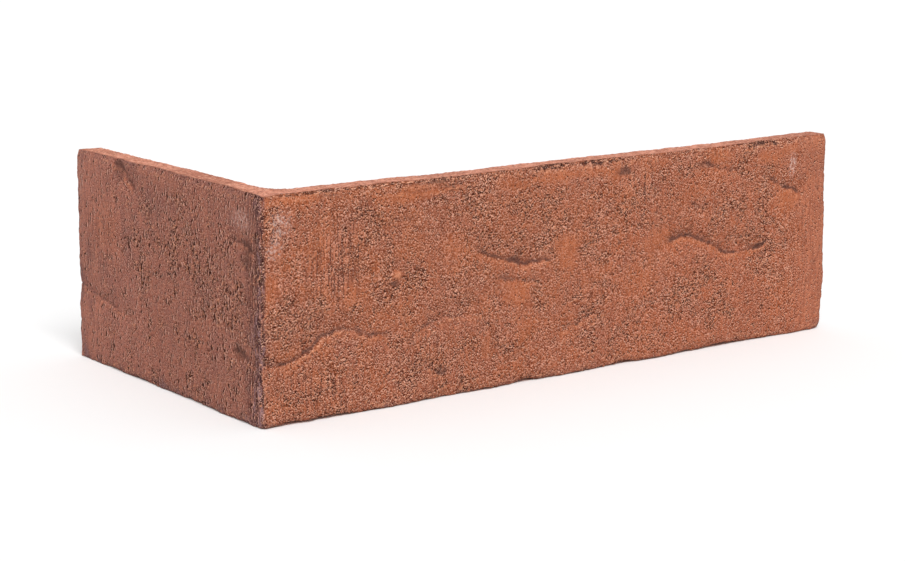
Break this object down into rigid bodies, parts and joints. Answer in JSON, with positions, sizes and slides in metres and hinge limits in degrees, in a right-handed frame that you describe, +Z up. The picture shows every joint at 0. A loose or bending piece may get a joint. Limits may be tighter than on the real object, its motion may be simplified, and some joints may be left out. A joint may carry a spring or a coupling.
{
  "type": "clinker corner brick slip",
  "caption": "L-shaped clinker brick slip that wraps the outer corner of a wall, with a folded, moulded face and a plain back.",
  "frame": {"origin": "on the bed that the slip stands on, in the middle of the 240 x 115 mm rectangle that the L covers", "axes": "+X along the long leg away from the corner, +Y along the short leg away from the corner, +Z up the wall"},
  "size_m": [0.24, 0.115, 0.071],
  "materials": {
    "clinker": "unglazed fired clay, matt, with drag marks, pits and sooty grey-purple margins"
  },
  "bodies": {
    "root": {"corner_slip": "clinker"}
  },
  "joints": []
}
